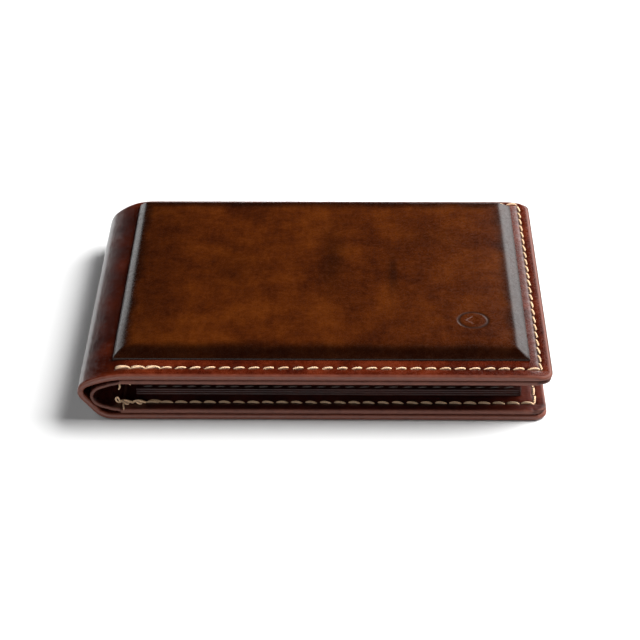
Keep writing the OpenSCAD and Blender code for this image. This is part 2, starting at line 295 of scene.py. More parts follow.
def closed_grid(name, outer, inner, place=None, worn=None):
    """A closed, smooth-shaded mesh between two grids of points, outer and inner.
    place and the second pair are grids kept on the mesh for its material: the place in
    the flat leather, and how dark it is (painted shade as well as burnish and dyed edges),
    how rubbed and how creased."""
    outer, inner = np.asarray(outer), np.asarray(inner)
    columns, rows = outer.shape[:2]
    index = np.arange(columns * rows).reshape(columns, rows)
    under = index + columns * rows
    faces = [
        np.stack([index[:-1, :-1], index[:-1, 1:], index[1:, 1:], index[1:, :-1]], -1).reshape(-1, 4),
        np.stack([under[:-1, :-1], under[1:, :-1], under[1:, 1:], under[:-1, 1:]], -1).reshape(-1, 4),
    ]
    for top, low in ((index[0], under[0]), (index[-1], under[-1]), (index[:, 0], under[:, 0]), (index[:, -1], under[:, -1])):
        faces.append(np.stack([top[:-1], top[1:], low[1:], low[:-1]], -1))
    points = np.concatenate([outer.reshape(-1, 3), inner.reshape(-1, 3)])
    kept = {"place": points, "worn": np.zeros_like(points)}
    for attribute, pair in (("place", place), ("worn", worn)):
        if pair is not None:
            kept[attribute] = np.concatenate([np.asarray(grid).reshape(-1, 3) for grid in pair])
    return solid_mesh(name, points, np.concatenate(faces), kept)


def solid_mesh(name, points, faces, kept, sharp_angle=50):
    """An object from points and faces: doubles merged, faces outwards, smooth but at sharp edges."""
    mesh = bpy.data.meshes.new(name)
    mesh.from_pydata([tuple(p) for p in points], [], [tuple(f) for f in faces])
    for attribute, values in kept.items():
        layer = mesh.attributes.new(attribute, "FLOAT_VECTOR", "POINT")
        layer.data.foreach_set("vector", np.asarray(values, np.float32).ravel())
    solid = bmesh.new()
    solid.from_mesh(mesh)
    bmesh.ops.remove_doubles(solid, verts=solid.verts, dist=1e-7)
    bmesh.ops.dissolve_degenerate(solid, edges=solid.edges, dist=1e-8)
    bmesh.ops.recalc_face_normals(solid, faces=solid.faces)
    solid.to_mesh(mesh)
    solid.free()
    mesh.shade_smooth()
    mesh.set_sharp_from_angle(angle=math.radians(sharp_angle))
    piece = bpy.data.objects.new(name, mesh)
    scene.collection.objects.link(piece)
    return piece


seam_front, seam_side, seam_far = 3.8 * MM, 2.8 * MM, 1.7 * MM
stitch_pitch = 3.6 * MM
seam_start_x = fold_x + 8.9 * MM
length_rows = across(2 * half_length, 8 * MM, 1.0 * MM)


def seam_runs(x_high):
    """The three straight runs of a half's seam: front, free edge and far side."""
    front_y, far_y, side_x = -half_length + seam_front, half_length - seam_far, x_high - seam_side
    corners = [(seam_start_x, front_y), (side_x, front_y), (side_x, far_y), (seam_start_x, far_y)]
    return [(Vector(p), Vector(q)) for p, q in zip(corners, corners[1:])]


def seam_at(x, y, x_high):
    """Distance from the seam, and how near a hole it is from 0 to 1, for arrays of places."""
    near, holes = np.full_like(x, 1.0), np.zeros_like(x)
    for start, end in seam_runs(x_high):
        length = (end - start).length
        along_x, along_y = (end - start) / length
        along = (x - start.x) * along_x + (y - start.y) * along_y
        past = along - np.clip(along, 0, length)
        aside = (x - start.x) * along_y - (y - start.y) * along_x
        away = np.hypot(past, aside)
        count = round(length / stitch_pitch)
        hole = (0.5 + 0.5 * np.cos(2 * math.pi * along / length * count)) ** 3
        holes = np.where(away < near, hole, holes)
        near = np.minimum(away, near)
    return near, holes


def seam_pull(x, y, x_high, groove=0.16 * MM):
    """How far the seam pulls the leather down, its line pressed groove deep."""
    near, holes = seam_at(x, y, x_high)
    line = np.exp(-((near / (0.42 * MM)) ** 2))
    wide = np.exp(-((near / (1.4 * MM)) ** 2))
    return line * (groove + 0.34 * MM * holes) + wide * 0.08 * MM


def hide_columns(u_from, u_to):
    """Places along the unrolled hide, fine at the free edges, the seam and the bends."""
    places = [0.0]
    places += edge_steps(8 * MM)[1:]
    places += spread(8 * MM, u_low, 0.5 * MM)
    places += spread(u_low, u_leg, 0.26 * MM)
    places += spread(u_leg, u_leg + fold_leg / 2, 0.3 * MM)
    places += spread(u_leg + fold_leg / 2, u_nose, 0.3 * MM)
    places += spread(u_nose, (u_nose + u_top) / 2, 0.13 * MM)
    places += spread((u_nose + u_top) / 2, u_top, 0.13 * MM)
    places += spread(u_top, u_front, 0.4 * MM)
    places += spread(u_front, u_end - 8 * MM, 0.5 * MM)
    places += [u_end - s for s in reversed(edge_steps(8 * MM)[:-1])]
    return [u for u in places if u_from - 1e-9 <= u <= u_to + 1e-9]


def placed(tree, kind, inputs=None, **settings):
    """A node with its settings, its inputs set or linked by name."""
    made = tree.nodes.new(kind)
    for setting, value in settings.items():
        setattr(made, setting, value)
    for socket, value in (inputs or {}).items():
        if isinstance(value, bpy.types.NodeSocket):
            tree.links.new(value, made.inputs[socket])
        else:
            made.inputs[socket].default_value = value
    return made


def reckon(tree, operation, a, b=0.0, clamp=False):
    return placed(tree, "ShaderNodeMath", {0: a, 1: b}, operation=operation, use_clamp=clamp).outputs[0]


def ramped(tree, value, low, high, start=0.0, end=1.0):
    """value from low to high carried to start to end, and held there."""
    inputs = {"Value": value, "From Min": low, "From Max": high, "To Min": start, "To Max": end}
    return placed(tree, "ShaderNodeMapRange", inputs).outputs[0]


def dyed(tree, share, first, second):
    """first where share is 0, and second where it is 1."""
    colours = [c if isinstance(c, bpy.types.NodeSocket) else (*c, 1) for c in (first, second)]
    return placed(tree, "ShaderNodeMix", {0: share, 6: colours[0], 7: colours[1]}, data_type="RGBA").outputs[2]


def new_group(name, sockets_in, sockets_out, kind="ShaderNodeTree"):
    """A node group with named sockets, and its inputs by name."""
    tree = bpy.data.node_groups.new(name, kind)
    for socket, (form, value) in sockets_in.items():
        made = tree.interface.new_socket(socket, in_out="INPUT", socket_type="NodeSocket" + form)
        if value is not None:
            made.default_value = value
    for socket, form in sockets_out.items():
        tree.interface.new_socket(socket, in_out="OUTPUT", socket_type="NodeSocket" + form)
    return tree, tree.nodes.new("NodeGroupInput").outputs


# Leather grain, shared by every leather piece: soft clouds of dye, long brush
# marks, fine mottling, specks, and the raised pebbles and pores of the hide.
hide_grain, grain_in = new_group(
    "hide_grain",
    {"Place": ("Vector", None), "Cloud": ("Float", 9.0), "Pebble": ("Float", 0.45)},
    {"Clouds": "Float", "Brushed": "Float", "Mottle": "Float", "Specks": "Float", "Grain": "Float"},
)


def grain_noise(scale, detail, roughness, stretch=(1, 1, 1), shift=0.0):
    """Noise over the leather, scale features to the millimetre."""
    inputs = {"Vector": grain_in["Place"], "Scale": tuple(1000 * s for s in stretch), "Location": (shift,) * 3}
    vector = placed(hide_grain, "ShaderNodeMapping", inputs).outputs[0]
    inputs = {"Vector": vector, "Scale": scale, "Detail": detail, "Roughness": roughness}
    return placed(hide_grain, "ShaderNodeTexNoise", inputs).outputs["Fac"]


cloud_scale = reckon(hide_grain, "DIVIDE", 1.0, grain_in["Cloud"])
pebble_scale = reckon(hide_grain, "DIVIDE", 1.0, grain_in["Pebble"])
pebble_place = placed(hide_grain, "ShaderNodeMapping", {"Vector": grain_in["Place"], "Scale": (1000,) * 3}).outputs[0]
pebbles = placed(
    hide_grain, "ShaderNodeTexVoronoi",
    {"Vector": pebble_place, "Scale": pebble_scale, "Smoothness": 0.4}, feature="SMOOTH_F1",
).outputs["Distance"]
wrinkles = grain_noise(0.9, 5, 0.65, shift=5.0)
grain_height = reckon(hide_grain, "ADD", reckon(hide_grain, "MULTIPLY", pebbles, -0.6), wrinkles)
grain_sockets = {
    "Clouds": ramped(hide_grain, grain_noise(cloud_scale, 3, 0.55), 0.32, 0.68),
    "Brushed": ramped(hide_grain, grain_noise(1.0, 3, 0.6, (0.9, 0.16, 0.9), 3.0), 0.3, 0.7),
    "Mottle": ramped(hide_grain, grain_noise(0.75, 4, 0.65, shift=9.0), 0.3, 0.7),
    "Specks": ramped(hide_grain, grain_noise(3.2, 2, 0.6, shift=1.0), 0.25, 0.75),
    "Grain": grain_height,
}
placed(hide_grain, "NodeGroupOutput", grain_sockets)


def leather(name, deep, middle, bright, rubbed, gloss, grain_depth, cloud=9.0, pebble=0.45):
    """A dyed and waxed leather. deep, middle and bright are its dye in hollows, on the
    whole and where it is rubbed light, and rubbed the bare, burnished edge. The dark mark,
    which holds painted shade as well as burnish and dyed edges, takes it towards a near-black deep."""
    material, shader = plain_material(name, middle, gloss)
    tree = material.node_tree
    place = placed(tree, "ShaderNodeAttribute", attribute_name="place").outputs["Vector"]
    worn = placed(tree, "ShaderNodeAttribute", attribute_name="worn").outputs["Vector"]
    dark, rub, crease = placed(tree, "ShaderNodeSeparateXYZ", {0: worn}).outputs[:]
    grain = placed(tree, "ShaderNodeGroup", {}, node_tree=hide_grain)
    tree.links.new(place, grain.inputs["Place"])
    grain.inputs["Cloud"].default_value = cloud
    grain.inputs["Pebble"].default_value = pebble
    clouds, brushed, mottle, specks, height = grain.outputs[:]
    tone = reckon(tree, "ADD", reckon(tree, "MULTIPLY", clouds, 0.58), reckon(tree, "MULTIPLY", brushed, 0.18))
    tone = reckon(tree, "ADD", tone, reckon(tree, "MULTIPLY", mottle, 0.24))
    colour = dyed(tree, ramped(tree, tone, 0.15, 0.5), deep, middle)
    colour = dyed(tree, ramped(tree, tone, 0.5, 0.95), colour, bright)
    speck = ramped(tree, specks, 0.62, 0.95, 0.0, 0.35)
    colour = dyed(tree, speck, colour, bright)
    colour = dyed(tree, ramped(tree, specks, 0.35, 0.05, 0.0, 0.5), colour, deep)
    edge = reckon(tree, "MULTIPLY", rub, ramped(tree, mottle, 0.0, 1.0, 0.55, 1.0), clamp=True)
    colour = dyed(tree, edge, colour, rubbed)
    # The dark mark darkens towards a near-black deep: painted shade at the fold, seams, creases, pocket feet and the
    # panel's fold side, and burnish and dyed edges elsewhere.
    colour = dyed(tree, reckon(tree, "MULTIPLY", dark, 0.85, clamp=True), colour, [c * 0.12 for c in deep])
    roughness = ramped(tree, reckon(tree, "ADD", mottle, specks), 0.3, 1.7, gloss - 0.07, gloss + 0.12)
    roughness = reckon(tree, "ADD", roughness, reckon(tree, "MULTIPLY", rub, 0.26))
    roughness = reckon(tree, "SUBTRACT", roughness, reckon(tree, "MULTIPLY", crease, 0.10))
    folds = placed(
        tree, "ShaderNodeTexNoise",
        {"Vector": placed(tree, "ShaderNodeMapping", {"Vector": place, "Scale": (1500, 260, 1500)}).outputs[0],
         "Scale": 1.0, "Detail": 4, "Roughness": 0.6},
    ).outputs["Fac"]
    folds = reckon(tree, "MULTIPLY", reckon(tree, "ABSOLUTE", reckon(tree, "SUBTRACT", folds, 0.5)), crease)
    height = reckon(tree, "ADD", height, reckon(tree, "MULTIPLY", folds, 4.0))
    bump = placed(tree, "ShaderNodeBump", {"Height": height, "Distance": grain_depth, "Strength": 1.0})
    tree.links.new(colour, shader.inputs["Base Color"])
    tree.links.new(roughness, shader.inputs["Roughness"])
    tree.links.new(bump.outputs[0], shader.inputs["Normal"])
    return material, shader


cover_leather, cover_shader = leather(
    "cover_leather", (0.018, 0.0016, 0.0004), (0.043, 0.0047, 0.0008), (0.085, 0.013, 0.0035), (0.13, 0.036, 0.020),
    gloss=0.24, grain_depth=0.022 * MM,
)
cover_shader.inputs["Specular IOR Level"].default_value = 0.45


def margin_fall(a, front):
    """How far the front half's margin slopes down to its free edge."""
    return 0.5 * MM * smooth_step((6.5 * MM - a) / (6.5 * MM)) if front else 0.0


def notch(x):
    """How far the hide is rounded off at its far end, where it goes round the fold."""
    share = np.clip((fold_x + 9.5 * MM - x) / (9.5 * MM), 0, 1)
    return 6 * MM * (1 - math.sqrt(1 - 0.998 * share**2))


def cover_piece(name, u_from, u_to):
    """The stretch of the hide from u_from to u_to."""
    outer, inner, flat, under, worn = [], [], [], [], []
    for u in hide_columns(u_from, u_to):
        place, inward = hide_profile(u)
        a = min(u, u_end - u)
        far_y = half_length - notch(place.x)
        y = rounded_rows(a, -half_length, far_y, cover_corner, length_rows)
        depth = outline_depth(a, y, -half_length, far_y, cover_corner)
        thick = cover_thick + (edge_thick - cover_thick) * smooth_step((turned_width - depth) / MM + 0.5)
        x = np.full_like(y, place.x)
        wave = waviness(x, y, place.y, 9 * MM) * 0.05 * MM * smooth_step(depth / (2 * MM))
        fall = round_edge(depth, edge_thick / 2)
        front = u > u_end / 2
        x_high, groove = (front_edge_x, 0.16 * MM) if front else (back_edge_x, 0.62 * MM)
        sink = fall + seam_pull(x, y, x_high, groove) + np.abs(wave) + margin_fall(a, front)
        rise = thick - fall + 0.5 * wave
        outer.append(np.stack([x + inward.x * sink, y, place.y + inward.y * sink], -1))
        inner.append(np.stack([x + inward.x * rise, y, place.y + inward.y * rise], -1))
        # Painted shade along the seam: darker on its pressed line, and most in the stitch holes.
        near, holes = seam_at(x, y, x_high)
        dark = np.exp(-((near / (0.5 * MM)) ** 2)) * (0.35 + 0.65 * holes)
        # Painted shade: the leather round the fold is darkened, patchily, for the shade on the side turned from the key
        # light.
        fold_painted_shade = smooth_step((u - u_low) / (4 * MM)) * smooth_step((u_front + 4 * MM - u) / (7 * MM))
        patchy = 0.8 + 0.4 * waviness(x, y, place.y, 6 * MM, 12.0)
        dark = np.maximum(dark, 0.78 * fold_painted_shade * patchy * smooth_step((depth - 0.6 * MM) / (2.5 * MM)))
        rubbed = smooth_step((1.0 * MM - depth) / (0.8 * MM))
        creased = np.full_like(y, smooth_step((u - u_low) / (2 * MM)) * smooth_step((u_front - u) / (4 * MM)))
        flat.append(np.stack([np.full_like(y, u), y, np.zeros_like(y)], -1))
        under.append(np.stack([np.full_like(y, u), y, thick], -1))
        worn.append(np.stack([dark, rubbed, creased], -1))
    piece = closed_grid(name, outer, inner, (flat, under), (worn, worn))
    piece.data.materials.append(cover_leather)
    return piece


u_mid_leg = u_leg + fold_leg / 2
u_mid_nose = (u_nose + u_top) / 2
back_leather = cover_piece("cover_back", 0, u_mid_leg)
lower_leather = cover_piece("cover_fold_lower", u_mid_leg, u_mid_nose)
upper_leather = cover_piece("cover_fold_upper", u_mid_nose, u_top)
front_leather = cover_piece("cover_front", u_top, u_end)
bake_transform(back_leather)
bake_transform(lower_leather)
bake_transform(upper_leather)
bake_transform(front_leather)
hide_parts("back_cover")
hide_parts("fold_cover_lower", "fold_cover_nose")
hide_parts("fold_cover_upper")
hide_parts("front_cover")


# ---- Inner leather ----
# The note divider of each half: soft leather with its edge turned under and
# sewn to the cover at the front and the free edge, open at the far side.
divider_low, divider_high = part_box("back_note_divider")
divider_x = divider_low.x
divider_far = divider_high.y
divider_inside = divider_high.z
divider_outside = edge_thick + 0.02 * MM
divider_plate = 0.8 * MM
divider_turned = 4.8 * MM


inner_leather, inner_shader = leather(
    "inner_leather", (0.012, 0.0012, 0.0006), (0.034, 0.0036, 0.0014), (0.080, 0.013, 0.006), (0.13, 0.045, 0.030),
    gloss=0.36, grain_depth=0.05 * MM, pebble=0.6,
)
inner_shader.inputs["Specular IOR Level"].default_value = 0.35


def flat_piece(name, half, x_low, x_high, y_low, y_high, corner, under, over, material, shade_and_wear_of=None, margin=6, step=1.0):
    """A flat piece of one half. under and over give its two faces' depths from the
    wallet's outer face, and the marks function its dark parts (painted shade as well as
    dyed edges), rubbed and creased parts, all from a, x, y and the distance inside its outline."""
    rows = across(y_high - y_low, margin * MM, step * MM)
    faces, worn = ([], []), []
    for a in across(x_high - x_low, margin * MM, step * MM):
        y = rounded_rows(a, y_low, y_high, corner, rows)
        inside = outline_depth(a, y, y_low, y_high, corner)
        inside = np.minimum(inside, x_high - x_low - a)
        x = np.full_like(y, x_high - a)
        for face, depth_of in zip(faces, (under, over)):
            depth = depth_of(a, x, y, inside)
            z = depth if half == "back" else closed_height - depth
            face.append(np.stack([x, y, z], -1))
        marks = shade_and_wear_of(a, x, y, inside) if shade_and_wear_of else (0.0, 0.0, 0.0)
        worn.append(np.stack([np.broadcast_to(mark, y.shape) for mark in marks], -1))
    piece = closed_grid(name, faces[0], faces[1], worn=(worn, worn))
    piece.data.materials.append(material)
    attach(piece, half + "_half")
    return piece


def gathers(x, y, x_high, y_low):
    """Small pleats where the turned edge is drawn in round the front free corner."""
    dx, dy = x - (x_high - cover_corner), y - (y_low + cover_corner)
    round_corner = np.arctan2(np.maximum(dy * -1, 0), np.maximum(dx, 0))
    reach = np.hypot(dx, dy)
    here = smooth_step((dx + 0.5 * MM) / MM) * smooth_step((0.5 * MM - dy) / MM)
    return here * np.sin(round_corner * 22) * np.clip(reach / cover_corner, 0, 1)


def divider(half, x_high):
    inset = 0.2 * MM
    y_low = -half_length + inset
    edge_r = (divider_inside - divider_outside) / 2

    def under(a, x, y, inside):
        turned = smooth_step((divider_turned - np.minimum(a, y - y_low)) / MM + 0.5)
        far_turned = smooth_step((3 * MM - (divider_far - y)) / MM + 0.5)
        thick = divider_plate + turned * (divider_inside - divider_plate - divider_outside)
        thick = np.maximum(thick, divider_plate + 0.3 * MM * far_turned)
        pleat = gathers(x, y, x_high - inset, y_low) * 0.12 * MM
        return divider_inside - thick + np.minimum(round_edge(inside, edge_r), thick / 2) + pleat

    def over(a, x, y, inside):
        pull = seam_pull(x, y, x_high)
        wave = waviness(x, y, 0, 11 * MM, 4.0) * 0.05 * MM * smooth_step(inside / (2 * MM))
        turned = smooth_step((divider_turned - np.minimum(a, y - y_low)) / MM + 0.5)
        thick = divider_plate + turned * (divider_inside - divider_plate - divider_outside)
        fall = np.minimum(round_edge(inside, edge_r), thick / 2)
        pleat = gathers(x, y, x_high - inset, y_low) * 0.26 * MM
        return divider_inside - fall - 0.8 * pull + wave - np.abs(pleat)

    def shade_and_wear_of(a, x, y, inside):
        # Painted shade along the seam line and in its stitch holes, as on the cover; darker along the pleats at the
        # front corner too.
        near, holes = seam_at(x, y, x_high)
        dark = np.exp(-((near / (0.5 * MM)) ** 2)) * (0.3 + 0.7 * holes)
        dark = np.maximum(dark, 0.9 * np.abs(gathers(x, y, x_high - inset, y_low)) ** 2)
        return dark, smooth_step((0.8 * MM - inside) / (0.7 * MM)), 0.0

    piece = flat_piece(
        f"divider_{half}", half, divider_x, x_high - inset, y_low, divider_far, cover_corner,
        under, over, inner_leather, shade_and_wear_of,
    )
    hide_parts(f"{half}_note_divider")
    return piece


dividers = [divider("back", back_edge_x), divider("front", front_edge_x)]


# ---- Inner fold ----
# The strip of inner leather that joins the two dividers. It is creased to a
# blunt nose inside the cover's fold, with its cut ends left raw.
inner_tip = Vector((fold_x + 3.4 * MM, closed_height * 0.484))
inner_half_thick = 0.42 * MM
inner_start = Vector((divider_x, divider_inside - divider_plate / 2))
inner_end = Vector((divider_x, closed_height - inner_start.y))


def inner_path():
    """The strip's middle line from the back divider round to the front one."""
    points = []
    for foot, way in ((inner_start, 1), (inner_end, -1)):
        first, second = foot + Vector((-2.2, 0.5 * way)) * MM, inner_tip + Vector((0, -2.6 * way)) * MM
        leg = []
        for t in np.linspace(0, 1, 25):
            ends = foot * (1 - t) ** 3 + inner_tip * t**3
            leg.append(ends + first * (3 * t * (1 - t) ** 2) + second * (3 * t**2 * (1 - t)))
        points.append(leg)
    return points[0] + points[1][-2::-1]


strip_path = inner_path()
strip_length = [0.0]
for p, q in zip(strip_path, strip_path[1:]):
    strip_length.append(strip_length[-1] + (q - p).length)


def strip_piece(name, first, last):
    """The strip between two points of its path."""
    y_low, y_high = -half_length + 0.3 * MM, divider_far
    rows = across(y_high - y_low, 4 * MM, 1.2 * MM)
    outer, inner, place, worn = [], [], [], []
    for i in range(first, last + 1):
        before, after = strip_path[max(0, i - 1)], strip_path[min(len(strip_path) - 1, i + 1)]
        along = (after - before).normalized()
        inward = Vector((along.y, -along.x))
        free = smooth_step(np.minimum(strip_length[i], strip_length[-1] - strip_length[i]) / (3 * MM))
        far_y = y_high - 6 * MM * free
        y = y_low + np.array(rows) * (far_y - y_low) / (y_high - y_low)
        depth = np.minimum(y - y_low, far_y - y)
        thick = inner_half_thick - round_edge(depth, inner_half_thick)
        crease = waviness(strip_length[i] * 1.6, y, 0, 1.6 * MM, 2.0) * 0.16 * MM
        crease += waviness(strip_length[i], y, 0, 7 * MM, 7.0) * 0.30 * MM
        crease *= free
        for grid, side in ((outer, -1), (inner, 1)):
            shift = crease + side * thick
            p = strip_path[i]
            grid.append(np.stack([p.x + inward.x * shift, y, p.y + inward.y * shift], -1))
        place.append(np.stack([np.full_like(y, strip_length[i]), y, np.zeros_like(y)], -1))
        rubbed = smooth_step((0.9 * MM - depth) / (0.7 * MM))
        worn.append(np.stack([0.25 * rubbed, rubbed, np.full_like(y, 0.6 * free)], -1))
    piece = closed_grid(name, outer, inner, (place, place), (worn, worn))
    piece.data.materials.append(inner_leather)
    return piece


strip_marks = (0, 12, 24, 36, len(strip_path) - 1)
strip_names = ("inner_fold_back", "inner_fold_low", "inner_fold_up", "inner_fold_front")
strip_nodes = ("back_inner_fold", "inner_fold_lower", "inner_fold_upper", "front_inner_fold")
inner_folds = []
for k, name in enumerate(strip_names):
    piece = strip_piece(name, strip_marks[k], strip_marks[k + 1])
    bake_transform(piece)
    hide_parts(strip_nodes[k])
    inner_folds.append(piece)


# ---- Card pockets ----
# Three stepped pockets in each half, pared thin, each with a creased line
# under its mouth, sewn at both sides and along the bottom.
pocket_leather, pocket_shader = leather(
    "pocket_leather", (0.020, 0.0022, 0.001), (0.055, 0.006, 0.0025), (0.11, 0.02, 0.009), (0.045, 0.005, 0.0025),
    gloss=0.40, grain_depth=0.04 * MM, cloud=14.0, pebble=0.35,
)
pocket_shader.inputs["Specular IOR Level"].default_value = 0.3
pocket_names = ("top", "middle", "bottom")
pockets = []


def pocket(half, name):
    low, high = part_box(f"{half}_pocket_{name}")
    near, deep = (low.z, high.z) if half == "back" else (closed_height - high.z, closed_height - low.z)
    thick = deep - near

    def gape(a, y):
        across_mouth = np.clip(np.minimum(a, high.x - low.x - a) / (24 * MM), 0, 1)
        return 0.30 * MM * smooth_step(across_mouth) * smooth_step((y - high.y + 9 * MM) / (9 * MM))

    def under(a, x, y, inside):
        seam = np.minimum(np.minimum(a, high.x - low.x - a), y - low.y)
        lift = 0.15 * MM * smooth_step((seam - 2.3 * MM) / (0.6 * MM))
        return near + lift + gape(a, y) + np.minimum(round_edge(inside, 0.12 * MM), thick / 3)

    def over(a, x, y, inside):
        crease = np.exp(-(((high.y - y - 1.4 * MM) / (0.26 * MM)) ** 2)) * 0.20 * MM
        wave = waviness(x, y, deep, 14 * MM, 1.0) * 0.05 * MM * smooth_step(inside / (3 * MM))
        return deep - round_edge(inside, 0.2 * MM) - crease + np.minimum(wave, 0) + gape(a, y)

    def shade_and_wear_of(a, x, y, inside):
        # Painted shade: dark in the crease under the mouth and across the pocket's foot, which sits in the shaded gap
        # between the halves. The dark mouth and the edges are dyed.
        crease = np.exp(-(((high.y - y - 1.4 * MM) / (0.32 * MM)) ** 2))
        mouth = smooth_step((0.8 * MM - (high.y - y)) / (0.5 * MM))
        edge = smooth_step((0.8 * MM - inside) / (0.6 * MM))
        foot = smooth_step((2.4 * MM - (y - low.y)) / (1.6 * MM))
        return np.maximum.reduce([crease, 0.2 * edge, 0.8 * foot, 0.85 * mouth]), 0.6 * edge * (1 - foot), 0.0

    piece = flat_piece(
        f"pocket_{half}_{name}", half, low.x, high.x, low.y, high.y, 0.6 * MM,
        under, over, pocket_leather, shade_and_wear_of, margin=3, step=1.4,
    )
    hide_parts(f"{half}_pocket_{name}")
    return piece


for half in ("back", "front"):
    for name in pocket_names:
        pockets.append(pocket(half, name))


# ---- Lining ----
# Thin woven cloth glued to the cover inside the note space, under the turned edge.
lining_colour = (0.035, 0.018, 0.012)
lining_cloth, lining_shader = plain_material("lining_cloth", lining_colour, 0.85)
lining_shader.inputs["Sheen Weight"].default_value = 0.25
lining_shader.inputs["Sheen Roughness"].default_value = 0.5
cloth = lining_cloth.node_tree
thread_per_mm = 3.2
cloth_place = placed(cloth, "ShaderNodeAttribute", attribute_name="place").outputs["Vector"]
cloth_x, cloth_y, _ = placed(cloth, "ShaderNodeSeparateXYZ", {0: cloth_place}).outputs[:]


def thread_wave(along, shift=0.0):
    """A wave from 0 to 1 for each thread of the cloth."""
    turn = reckon(cloth, "ADD", reckon(cloth, "MULTIPLY", along, 1000 * thread_per_mm * math.pi), shift)
    return reckon(cloth, "ABSOLUTE", reckon(cloth, "SINE", turn))


warp, weft = thread_wave(cloth_x), thread_wave(cloth_y)
over_under = reckon(cloth, "MULTIPLY", thread_wave(cloth_x, math.pi / 4), thread_wave(cloth_y, math.pi / 4))
weave = reckon(cloth, "MAXIMUM", reckon(cloth, "MULTIPLY", warp, over_under), reckon(cloth, "SUBTRACT", weft, over_under))
slub_place = placed(cloth, "ShaderNodeMapping", {"Vector": cloth_place, "Scale": (600, 90, 600)}).outputs[0]
slub = placed(cloth, "ShaderNodeTexNoise", {"Vector": slub_place, "Scale": 1.0, "Detail": 3}).outputs["Fac"]
# Painted shade between the threads: the weave's low parts take the dark colour; the slubs vary it at random.
thread_tone = reckon(cloth, "MULTIPLY", weave, ramped(cloth, slub, 0.3, 0.7, 0.6, 1.2), clamp=True)
cloth_colour = dyed(cloth, thread_tone, (0.012, 0.006, 0.004), (0.06, 0.032, 0.022))
cloth.links.new(cloth_colour, lining_shader.inputs["Base Color"])
cloth_bump = placed(cloth, "ShaderNodeBump", {"Height": weave, "Distance": 0.05 * MM})
cloth.links.new(cloth_bump.outputs[0], lining_shader.inputs["Normal"])
cloth.links.new(ramped(cloth, slub, 0.3, 0.7, 0.75, 0.95), lining_shader.inputs["Roughness"])


def lining(half):
    low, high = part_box(f"{half}_lining")
    near, deep = (low.z, high.z) if half == "back" else (closed_height - high.z, closed_height - low.z)
    piece = flat_piece(
        f"lining_{half}", half, low.x, high.x, low.y, high.y, 0.3 * MM,
        lambda a, x, y, inside: np.full_like(y, near),
        lambda a, x, y, inside: deep - round_edge(inside, 0.1 * MM),
        lining_cloth, margin=2, step=2.0,
    )
    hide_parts(f"{half}_lining")
    return piece


linings = [lining("back"), lining("front")]


# ---- Raised panel ----
# Thick leather drawn wet over a bevelled board, mitred at its corners, burnished
# dark at the edges and pressed with a small plain mark; painted shade darkens its
# side by the fold.
panel_leather, panel_shader = leather(
    "panel_leather", (0.019, 0.0032, 0.0004), (0.036, 0.0068, 0.0006), (0.062, 0.0135, 0.0012), (0.03, 0.008, 0.002),
    gloss=0.25, grain_depth=0.006 * MM, cloud=10.0, pebble=0.4,
)
panel_shader.inputs["Specular IOR Level"].default_value = 0.2
panel_shader.inputs["Coat Weight"].default_value = 0.05
panel_shader.inputs["Coat Roughness"].default_value = 0.08
panel_low, panel_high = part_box("panel_leather")
panel_bevel = 3.4 * MM
panel_height = panel_high.z - closed_height
mark_width = 8 * MM
mark_x = panel_high.x - panel_bevel - 1.2 * mark_width
mark_y = panel_low.y + panel_bevel + 1.5 * mark_width
mark_ring = 0.41 * mark_width + 0.045 * mark_width


panel_lip = 0.45 * MM
far_bevel = 1.5 * MM


def panel_sides(x, y):
    """Distance in from each side of the panel, with its bevel's width and how hollow
    the bevel is: the far one is steep, and the one by the fold swells a little."""
    share = (y - panel_low.y) / (panel_high.y - panel_low.y)
    return [
        (y - panel_low.y, panel_bevel, 1.25),
        (panel_high.x - x, panel_bevel, 1.15),
        (panel_high.y - y, far_bevel, 0.9),
        (x - panel_low.x, panel_bevel - 0.9 * MM * share, 0.8 - 0.1 * share),
    ]


def panel_height_at(x, y):
    """The panel's face above the cover."""
    wobble = waviness(x, y, 0, 16 * MM, 3.0) * 0.12 * MM
    sides, within = [], np.full_like(x, 1.0)
    for away, width, hollow in panel_sides(x, y):
        slope = np.clip((away + wobble - 0.3 * MM) / (width - 0.3 * MM), 0, 1)
        rise = panel_lip + (panel_height - panel_lip) * slope**hollow
        rise += np.maximum(away + wobble - width, 0) * 0.7
        lip = panel_lip - round_edge(away, 0.28 * MM)
        sides.append(np.where(away < 0.3 * MM, lip, rise))
        within = np.minimum(within, away + wobble - width)
    mitre, shoulder = 0.03 * MM, 0.16 * MM
    lowest = np.minimum.reduce(sides)
    blend = lowest - mitre * np.log(sum(np.exp((lowest - side) / mitre) for side in sides))
    blend = np.where(lowest > 0.9 * MM, blend, lowest)
    fall = 0.30 * MM * np.exp(-np.maximum(within, 0) / (7 * MM))
    top = panel_height - 0.02 * MM - fall
    under = np.minimum(blend, top)
    softened = under - shoulder * np.log1p(np.exp(-np.abs(blend - top) / shoulder))
    face = np.where(blend > 0.9 * MM, softened, under)
    uneven = waviness(x, y, 1, 22 * MM, 6.0) * 0.05 * MM * smooth_step((within + MM) / (4 * MM))
    reach = np.hypot(x - mark_x, y - mark_y)
    ring = np.exp(-(((reach - mark_ring) / (0.42 * MM)) ** 2))
    diamond = smooth_step((mark_width * 0.23 - np.abs(x - mark_x) - np.abs(y - mark_y)) / (0.25 * MM) + 0.5)
    pressed = np.maximum(ring, diamond) * 0.13 * MM
    return face + uneven - pressed


def panel_places(low, high, detail):
    """Places across the panel, fine at the bevel and at the mark."""
    places = [low + s for s in edge_steps(5 * MM, first=0.07 * MM, growth=1.35, largest=0.3 * MM)]
    fine = spread(detail - 0.6 * mark_width, detail + 0.6 * mark_width, 0.16 * MM)
    places += spread(low + 5 * MM, fine[0], 0.9 * MM)[:-1] + fine
    places += spread(fine[-1], high - 5 * MM, 0.9 * MM)[:-1]
    places += [high - s for s in reversed(edge_steps(5 * MM, first=0.07 * MM, growth=1.35, largest=0.3 * MM))]
    return np.array(places)


